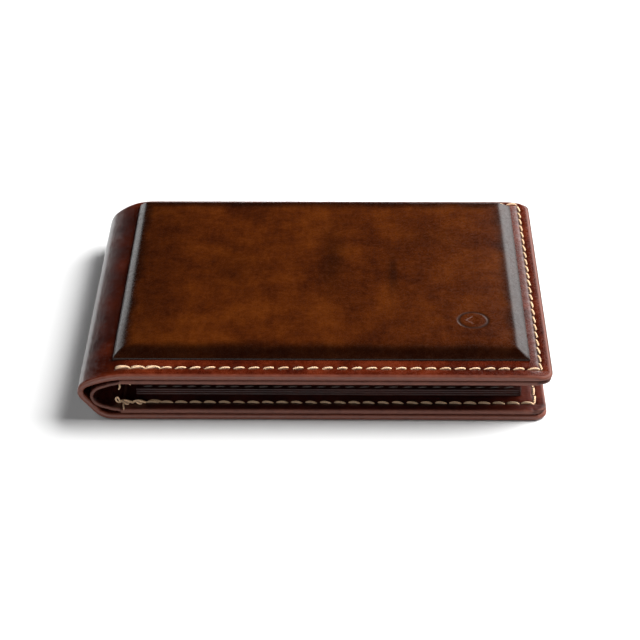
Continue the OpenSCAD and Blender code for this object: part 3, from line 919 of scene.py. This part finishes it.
px, py = np.meshgrid(
    panel_places(panel_low.x, panel_high.x, mark_x),
    panel_places(panel_low.y, panel_high.y, mark_y),
    indexing="ij",
)
skin_height = panel_height_at(px, py)
skin_top = np.stack([px, py, closed_height + skin_height], -1)
skin_foot = np.minimum(0.0, px - top_centre.x) ** 2 / (2 * top_bend_r)
skin_thick = 0.74 * MM
skin_under = np.maximum(skin_height - skin_thick, 0.02 * MM)
foot_share = smooth_step((skin_height - skin_thick) / (0.1 * MM))
skin_low = np.stack([px, py, closed_height + skin_under - skin_foot * (1 - foot_share)], -1)
inside_panel = np.minimum(np.minimum(px - panel_low.x, panel_high.x - px), np.minimum(py - panel_low.y, panel_high.y - py))
burnished = waviness(px, py, 2, 7 * MM, 8.0) * 1.2 * MM
burnish_and_painted_shade = 0.95 * smooth_step((6.5 * MM + burnished - inside_panel) / (4.5 * MM))
# Painted shade: the side by the fold is darkened over 24 mm, for the light falling from the right; the band along every
# edge is burnish.
burnish_and_painted_shade = np.maximum(burnish_and_painted_shade, 0.45 * smooth_step((24 * MM - (px - panel_low.x)) / (24 * MM)))
mark_reach = np.hypot(px - mark_x, py - mark_y)
mark_dark = 0.8 * np.exp(-(((mark_reach - mark_ring) / (0.35 * MM)) ** 2))
smudge = np.zeros_like(px)
for smudge_x, smudge_y, smudge_wide, smudge_long, strength in (
    (4 * MM, 8 * MM, 3.2 * MM, 15 * MM, 0.65), (19.4 * MM, 0.5 * MM, 1.2 * MM, 9 * MM, 0.8),
    (-22 * MM, 3 * MM, 8 * MM, 12 * MM, 0.25), (30 * MM, 20 * MM, 7 * MM, 5 * MM, 0.25),
):
    ragged = 1 + 0.5 * waviness(px, py, 3, 3 * MM, smudge_x * 1000)
    away = ((px - smudge_x) / smudge_wide) ** 2 + ((py - smudge_y) / smudge_long) ** 2
    smudge = np.maximum(smudge, strength * np.exp(-away * ragged))
panel_dark = np.maximum(np.maximum(burnish_and_painted_shade, mark_dark), smudge)
panel_rub = np.maximum(smooth_step((0.3 * MM - inside_panel) / (0.2 * MM)) * 0.6, 1.2 * mark_dark)
panel_shade_and_wear = np.stack([panel_dark, panel_rub, np.zeros_like(px)], -1)
panel_skin = closed_grid("panel_skin", skin_top, skin_low, worn=(panel_shade_and_wear, panel_shade_and_wear))
panel_skin.data.materials.append(panel_leather)
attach(panel_skin, "front_half")
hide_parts("panel_leather")

# The board inside is grey-brown pulp board, seen only where the skin is lifted.
board_pulp, board_shader = plain_material("board_pulp", (0.30, 0.22, 0.14), 0.9)
pulp = board_pulp.node_tree
pulp_place = placed(pulp, "ShaderNodeTexCoord").outputs["Object"]
fibres = placed(
    pulp, "ShaderNodeTexNoise",
    {"Vector": placed(pulp, "ShaderNodeMapping", {"Vector": pulp_place, "Scale": (900, 300, 900)}).outputs[0],
     "Scale": 1.0, "Detail": 6, "Roughness": 0.7},
).outputs["Fac"]
flecks = placed(pulp, "ShaderNodeTexVoronoi", {"Vector": pulp_place, "Scale": 700.0}).outputs["Distance"]
pulp_colour = dyed(pulp, ramped(pulp, fibres, 0.3, 0.7), (0.20, 0.14, 0.085), (0.38, 0.29, 0.19))
pulp_colour = dyed(pulp, ramped(pulp, flecks, 0.0, 0.25, 0.6, 0.0), pulp_colour, (0.10, 0.07, 0.045))
pulp.links.new(pulp_colour, board_shader.inputs["Base Color"])
pulp_bump = placed(pulp, "ShaderNodeBump", {"Height": fibres, "Distance": 0.08 * MM})
pulp.links.new(pulp_bump.outputs[0], board_shader.inputs["Normal"])
pulp.links.new(ramped(pulp, fibres, 0.3, 0.7, 0.82, 0.96), board_shader.inputs["Roughness"])
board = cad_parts["panel_board"]
board.data.materials.clear()
board.data.materials.append(board_pulp)


# ---- Seam stitching ----
# Two-ply waxed cream thread, saddle sewn through cover and divider. One slanted
# stitch is made once and laid along each run of the seam, pulled into its holes.
thread_thick = 0.55 * MM


def thread_material(name, light, dark, gloss):
    """Twisted thread, its plies and fuzz from the along and around marks on the mesh."""
    material, shader = plain_material(name, light, gloss)
    tree = material.node_tree
    along = placed(tree, "ShaderNodeAttribute", attribute_name="along").outputs["Fac"]
    around = placed(tree, "ShaderNodeAttribute", attribute_name="around").outputs["Fac"]
    turn = reckon(tree, "ADD", reckon(tree, "MULTIPLY", along, 2 * math.pi / (0.85 * MM)), reckon(tree, "MULTIPLY", around, 4 * math.pi))
    ply = reckon(tree, "ABSOLUTE", reckon(tree, "SINE", turn))
    place = placed(tree, "ShaderNodeTexCoord").outputs["Object"]
    fuzz = placed(tree, "ShaderNodeTexNoise", {"Vector": place, "Scale": 7000.0, "Detail": 3}).outputs["Fac"]
    dirt = placed(tree, "ShaderNodeTexNoise", {"Vector": place, "Scale": 260.0, "Detail": 3}).outputs["Fac"]
    # Painted shade in the grooves between the plies: the colour goes to dark there. The dirt noise below is real
    # soiling.
    tone = reckon(tree, "MULTIPLY", ramped(tree, ply, 0.0, 0.55, 0.0, 1.0), ramped(tree, fuzz, 0.2, 0.6, 0.75, 1.0))
    colour = dyed(tree, tone, dark, light)
    colour = dyed(tree, ramped(tree, dirt, 0.52, 0.75, 0.0, 0.55), colour, dark)
    tree.links.new(colour, shader.inputs["Base Color"])
    tree.links.new(ramped(tree, fuzz, 0.3, 0.7, gloss - 0.08, gloss + 0.15), shader.inputs["Roughness"])
    height = reckon(tree, "ADD", ply, reckon(tree, "MULTIPLY", fuzz, 0.3))
    bump = placed(tree, "ShaderNodeBump", {"Height": height, "Distance": 0.12 * MM})
    tree.links.new(bump.outputs[0], shader.inputs["Normal"])
    shader.inputs["Sheen Weight"].default_value = 0.2
    return material


cream_thread = thread_material("cream_thread", (0.84, 0.57, 0.34), (0.42, 0.20, 0.08), 0.38)
brown_thread = thread_material("brown_thread", (0.075, 0.03, 0.015), (0.02, 0.008, 0.004), 0.5)

stitch_row, row_in = new_group(
    "stitch_row",
    {
        "Geometry": ("Geometry", None),
        "Pitch": ("Float", stitch_pitch),
        "Stitch length": ("Float", 2.75 * MM),
        "Arch": ("Float", 0.16 * MM),
        "Dip": ("Float", 0.55 * MM),
        "Thickness": ("Float", thread_thick),
        "Slant": ("Float", 0.2),
        "Turned over": ("Float", 0.0),
        "Unevenness": ("Float", 0.05),
        "Seed": ("Int", 1),
    },
    {"Geometry": "Geometry"},
    "GeometryNodeTree",
)


def stitch_end(side, height):
    """A point of the stitch's own line, side times half its length along."""
    x = reckon(stitch_row, "MULTIPLY", row_in["Stitch length"], side / 2)
    return placed(stitch_row, "ShaderNodeCombineXYZ", {"X": x, "Z": height}).outputs[0]


low_end = reckon(stitch_row, "MULTIPLY", row_in["Dip"], -1.0)
arch_line = placed(
    stitch_row, "GeometryNodeCurvePrimitiveBezierSegment",
    {
        "Resolution": 8, "Start": stitch_end(-1, low_end), "End": stitch_end(1, low_end),
        "Start Handle": stitch_end(-0.84, row_in["Arch"]), "End Handle": stitch_end(0.84, row_in["Arch"]),
    },
).outputs["Curve"]
distance_along = placed(stitch_row, "GeometryNodeSplineParameter").outputs["Length"]
arch_line = placed(
    stitch_row, "GeometryNodeStoreNamedAttribute",
    {"Geometry": arch_line, "Name": "along", "Value": distance_along}, data_type="FLOAT",
).outputs[0]
half_thread = reckon(stitch_row, "MULTIPLY", row_in["Thickness"], 0.5)
section = placed(stitch_row, "GeometryNodeCurvePrimitiveCircle", {"Resolution": 7, "Radius": half_thread}).outputs["Curve"]
section_share = placed(stitch_row, "GeometryNodeSplineParameter").outputs["Factor"]
section = placed(
    stitch_row, "GeometryNodeStoreNamedAttribute",
    {"Geometry": section, "Name": "around", "Value": section_share}, data_type="FLOAT",
).outputs[0]
one_stitch = placed(
    stitch_row, "GeometryNodeCurveToMesh", {"Curve": arch_line, "Profile Curve": section, "Fill Caps": True}
).outputs[0]
row_line = placed(stitch_row, "GeometryNodeMeshToCurve", {"Mesh": row_in["Geometry"]}).outputs[0]
row_points = placed(
    stitch_row, "GeometryNodeCurveToPoints", {"Curve": row_line, "Length": row_in["Pitch"]}, mode="LENGTH"
)
heading = placed(
    stitch_row, "FunctionNodeAlignRotationToVector", {"Vector": row_points.outputs["Tangent"]}, axis="X"
).outputs[0]
uneven = reckon(stitch_row, "MULTIPLY", row_in["Unevenness"], -1.0)
wobble = placed(
    stitch_row, "FunctionNodeRandomValue",
    {2: uneven, 3: row_in["Unevenness"], "Seed": row_in["Seed"]}, data_type="FLOAT",
).outputs[1]
slanted = placed(
    stitch_row, "FunctionNodeAxisAngleToRotation",
    {"Axis": (0, 0, 1), "Angle": reckon(stitch_row, "ADD", row_in["Slant"], wobble)},
).outputs[0]
turned = placed(
    stitch_row, "FunctionNodeAxisAngleToRotation", {"Axis": (1, 0, 0), "Angle": row_in["Turned over"]}
).outputs[0]
heading = placed(stitch_row, "FunctionNodeRotateRotation", {0: heading, 1: slanted}, rotation_space="LOCAL").outputs[0]
heading = placed(stitch_row, "FunctionNodeRotateRotation", {0: heading, 1: turned}, rotation_space="LOCAL").outputs[0]
stitch_size = reckon(stitch_row, "ADD", reckon(stitch_row, "MULTIPLY", wobble, 0.6), 1.0)
laid = placed(
    stitch_row, "GeometryNodeInstanceOnPoints",
    {"Points": row_points.outputs["Points"], "Instance": one_stitch, "Rotation": heading, "Scale": stitch_size},
).outputs[0]
sewn = placed(stitch_row, "GeometryNodeRealizeInstances", {"Geometry": laid}).outputs[0]
finished = placed(
    stitch_row, "GeometryNodeSetMaterial", {"Geometry": sewn, "Material": cream_thread}
).outputs[0]
placed(stitch_row, "NodeGroupOutput", {"Geometry": finished})
row_keys = {item.name: item.identifier for item in stitch_row.interface.items_tree if item.in_out == "INPUT"}


def stitches(name, runs, pitch=stitch_pitch, **sizes):
    """The mesh of the stitches on straight runs, each a pair of hole ends in 3-D."""
    points, edges = [], []
    for start, end in runs:
        start, end = Vector(start), Vector(end)
        count = max(2, round((end - start).length / pitch))
        half_step = (end - start) / count / 2
        points += [start + half_step, end - half_step]
        edges.append((len(points) - 2, len(points) - 1))
    line = bpy.data.meshes.new(name)
    line.from_pydata([tuple(p) for p in points], edges, [])
    row = bpy.data.objects.new(name, line)
    scene.collection.objects.link(row)
    sewing = row.modifiers.new("sewing", "NODES")
    sewing.node_group = stitch_row
    sewing[row_keys["Pitch"]] = pitch * 0.97
    for key, value in sizes.items():
        sewing[row_keys[key.replace("_", " ").capitalize()]] = value
    view_layer = bpy.context.evaluated_depsgraph_get()
    sewn_mesh = bpy.data.meshes.new_from_object(row.evaluated_get(view_layer), depsgraph=view_layer)
    bpy.data.objects.remove(row)
    return sewn_mesh


def joined(name, meshes, thread, body, *nodes):
    """One piece from several meshes of thread, riding on body in place of the CAD nodes."""
    whole = bmesh.new()
    for mesh in meshes:
        whole.from_mesh(mesh)
    bmesh.ops.recalc_face_normals(whole, faces=whole.faces)
    final = bpy.data.meshes.new(name)
    whole.to_mesh(final)
    whole.free()
    final.materials.append(thread)
    final.shade_smooth()
    piece = bpy.data.objects.new(name, final)
    scene.collection.objects.link(piece)
    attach(piece, body)
    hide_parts(*nodes)
    return piece


def seam_stitches(half, x_high):
    """The outer and inner rows of one half; past the divider the inner row lies on the hem."""
    sign = 1 if half == "front" else -1
    outside = closed_height if half == "front" else 0.0
    inside = closed_height - divider_inside if half == "front" else divider_inside
    rows = []
    hem_inside = closed_height - edge_thick if half == "front" else edge_thick
    proud = 0.10 * MM if half == "front" else -0.42 * MM
    for k, (height, up) in enumerate(((outside - sign * abs(proud), sign), (inside - sign * 0.08 * MM, -sign))):
        fallen = margin_fall(seam_side, k == 0 and half == "front")
        heights = (height, height - fallen, height if k == 0 else hem_inside - sign * 0.08 * MM)
        runs = []
        for run, ((p, q), level) in enumerate(zip(seam_runs(x_high), heights)):
            if k == 1 and run == 1:
                step = (q - p) / round((q - p).length / stitch_pitch)
                q = q - step
            runs.append(((p.x, p.y, level), (q.x, q.y, level)))
        turned_over = 0.0 if up > 0 else math.pi
        slant = 0.22 if half == "front" else -0.12
        rows.append(stitches(f"row_{half}_{k}", runs, turned_over=turned_over, slant=slant, seed=3 + k + 5 * sign))
        start = Vector(runs[0][0])
        again = [(start + Vector((0.2, 0.28, 0.04 * up)) * MM, start + Vector((3 * 3.635 + 0.2, 0.28, 0.04 * up)) * MM)]
        rows.append(stitches(f"backstitch_{half}_{k}", again, turned_over=turned_over, slant=-0.05, arch=0.22 * MM, stitch_length=3.3 * MM, seed=11 + k))
    return joined(f"seam_stitches_{half}", rows, cream_thread, half + "_half", f"{half}_seam_stitching")


seam_rows = [seam_stitches("back", back_edge_x), seam_stitches("front", front_edge_x)]


# ---- Pocket stitching ----
# Finer brown thread in shorter stitches, along both sides and the bottom of the
# card pockets of each half, through all three pockets and the divider.
def pocket_stitches(half):
    low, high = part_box(f"{half}_pocket_stitching")
    margin = thread_thick / 2
    height = high.z - 0.42 * MM if half == "back" else low.z + 0.42 * MM
    left, right, foot, head = low.x + margin, high.x - margin, low.y + margin, high.y - margin
    corners = [(left, head, height), (left, foot, height), (right, foot, height), (right, head, height)]
    turned_over = 0.0 if half == "back" else math.pi
    mesh = stitches(
        f"pocket_row_{half}", list(zip(corners, corners[1:])), turned_over=turned_over, slant=0.12,
        stitch_length=2.7 * MM, arch=0.08 * MM, thickness=0.45 * MM, seed=21,
    )
    return joined(f"pocket_stitches_{half}", [mesh], brown_thread, half + "_half", f"{half}_pocket_stitching")


pocket_rows = [pocket_stitches("back"), pocket_stitches("front")]


# ---- Thread ends ----
# Where the seam starts by the fold, the thread is knotted and cut short. Each
# half has its knots and tapered tails, the back one a loop as well, stiff with wax.
def thread_length(points, thick=thread_thick, taper=0.75):
    """A mesh of thread along a smooth line through points in millimetres."""
    through = [Vector(p) * MM for p in points]
    line = []
    for k in range(len(through) - 1):
        before, after = through[max(0, k - 1)], through[min(len(through) - 1, k + 2)]
        for share in np.linspace(0, 1, 9)[: 9 if k == len(through) - 2 else 8]:
            a, b, c, d = before, through[k], through[k + 1], after
            line.append(
                0.5 * (2 * b + (c - a) * share + (2 * a - 5 * b + 4 * c - d) * share**2
                       + (3 * b - a - 3 * c + d) * share**3)
            )
    sides, rings, along, gone = 10, [], [], 0.0
    normal = Vector((0.3, 0.2, 1.0))
    for k, centre in enumerate(line):
        ahead = (line[min(k + 1, len(line) - 1)] - line[max(0, k - 1)]).normalized()
        normal = (normal - ahead * normal.dot(ahead)).normalized()
        across_line = ahead.cross(normal)
        ending = min(k, len(line) - 1 - k)
        radius = thick / 2 * (taper + (1 - taper) * min(1.0, ending / 4))
        for side in range(sides):
            turn = 2 * math.pi * side / sides
            rings.append(centre + (normal * math.cos(turn) + across_line * math.sin(turn)) * radius)
        if k:
            gone += (centre - line[k - 1]).length
        along.append(gone)
    faces = []
    for k in range(len(line) - 1):
        for side in range(sides):
            a, b = k * sides + side, k * sides + (side + 1) % sides
            faces.append((a, b, b + sides, a + sides))
    for first, end in ((0, line[0]), ((len(line) - 1) * sides, line[-1])):
        rings.append(end)
        faces += [(first + side, first + (side + 1) % sides, len(rings) - 1) for side in range(sides)]
    mesh = bpy.data.meshes.new("thread_length")
    mesh.from_pydata([tuple(p) for p in rings], [], faces)
    marks = {"along": [], "around": []}
    for k in range(len(line)):
        marks["along"] += [along[k]] * sides
        marks["around"] += [side / sides for side in range(sides)]
    for name, values in marks.items():
        layer = mesh.attributes.new(name, "FLOAT", "POINT")
        layer.data.foreach_set("value", values + [0.0, 0.0])
    return mesh


def knot(x, y, z, size=1.0):
    """An overhand knot's turns about a point, in millimetres."""
    turns = [(-1.5, 0, 0), (-0.6, 0.3, 0.25), (0.3, 0.35, 0.1), (0.45, -0.25, -0.1), (-0.3, -0.35, 0.15),
             (-0.4, 0.2, 0.35), (0.4, 0.1, 0.3), (1.5, -0.1, 0)]
    return [(x + dx * size, y + dy * size, z + dz * size) for dx, dy, dz in turns]


start_x, start_y = seam_start_x / MM, (-half_length + seam_front) / MM
low_z, high_z = (divider_inside) / MM + 0.2, (closed_height - divider_inside) / MM - 0.2
back_ends = [
    thread_length(knot(start_x + 2.4, start_y - 0.9, low_z + 0.1, 1.25)),
    thread_length(knot(start_x + 5.6, start_y - 0.8, low_z + 0.1, 1.1)),
    thread_length(
        [(start_x + 0.8, start_y - 0.5, low_z), (start_x + 0.3, start_y - 1.2, low_z + 0.6),
         (start_x + 0.1, start_y - 1.6, low_z + 1.6), (start_x + 0.5, start_y - 1.7, low_z + 2.1),
         (start_x + 0.9, start_y - 1.5, low_z + 1.5), (start_x + 0.9, start_y - 1.0, low_z + 0.5),
         (start_x + 1.2, start_y - 0.7, low_z)], 0.42 * MM,
    ),
    thread_length(
        [(start_x + 2.2, start_y - 0.9, low_z + 0.2), (start_x + 1.9, start_y - 2.0, low_z + 0.2),
         (start_x + 2.1, start_y - 3.0, low_z - 0.2), (start_x + 2.0, start_y - 3.4, low_z - 0.8)], 0.38 * MM, 0.45,
    ),
]
front_ends = [
    thread_length(knot(start_x + 1.9, start_y - 0.9, high_z - 0.1, 1.0)),
    thread_length(
        [(start_x + 1.5, start_y - 0.8, high_z), (start_x + 1.2, start_y - 1.6, high_z - 0.5),
         (start_x + 1.3, start_y - 2.1, high_z - 1.3), (start_x + 1.0, start_y - 2.3, high_z - 1.9)], 0.42 * MM, 0.45,
    ),
    thread_length(
        [(start_x + 2.6, start_y - 0.9, high_z), (start_x + 3.4, start_y - 1.5, high_z - 0.4),
         (start_x + 3.9, start_y - 1.8, high_z - 0.9)], 0.38 * MM, 0.45,
    ),
]
end_pieces = [
    joined("thread_ends_back", back_ends, cream_thread, "back_half", "back_thread_ends"),
    joined("thread_ends_front", front_ends, cream_thread, "front_half", "front_thread_ends"),
]
